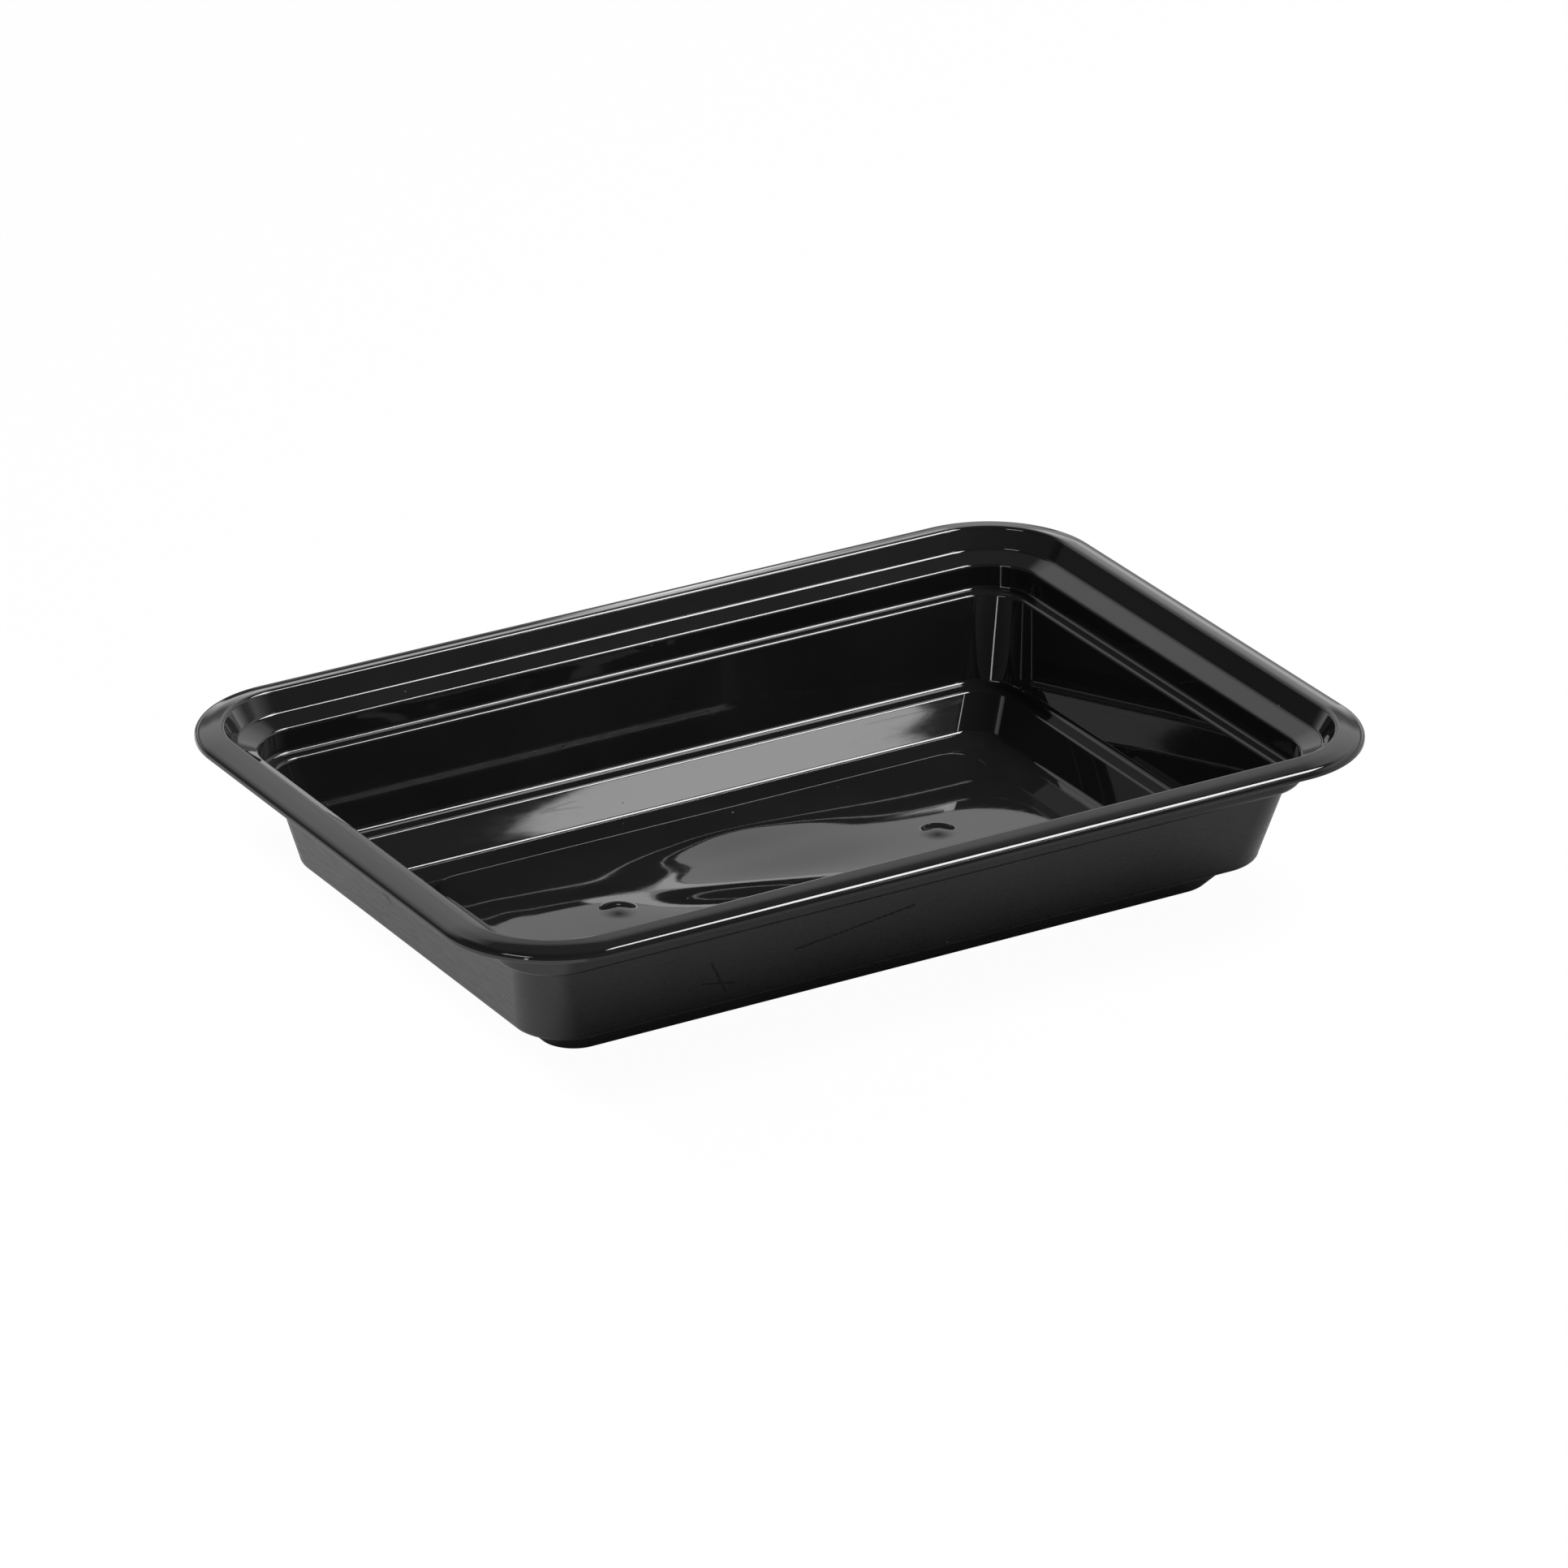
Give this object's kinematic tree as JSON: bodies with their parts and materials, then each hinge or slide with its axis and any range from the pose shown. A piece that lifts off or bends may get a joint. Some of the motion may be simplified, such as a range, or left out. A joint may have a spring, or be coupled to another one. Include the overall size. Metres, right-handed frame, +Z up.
{
  "type": "plastic food container base",
  "caption": "Open rectangular black plastic food container base with rounded corners, stepped walls, a lid seat and a raised floor panel.",
  "frame": {"origin": "on the table, under the middle of the container, level with the flat ring that it stands on", "axes": "+X along the long side, +Y along the short side, +Z up out of the open mouth"},
  "size_m": [0.222, 0.1546, 0.0388],
  "materials": {
    "black_plastic": "glossy moulded inside, satin outside"
  },
  "bodies": {
    "root": {"container_base": "black_plastic"}
  },
  "joints": []
}
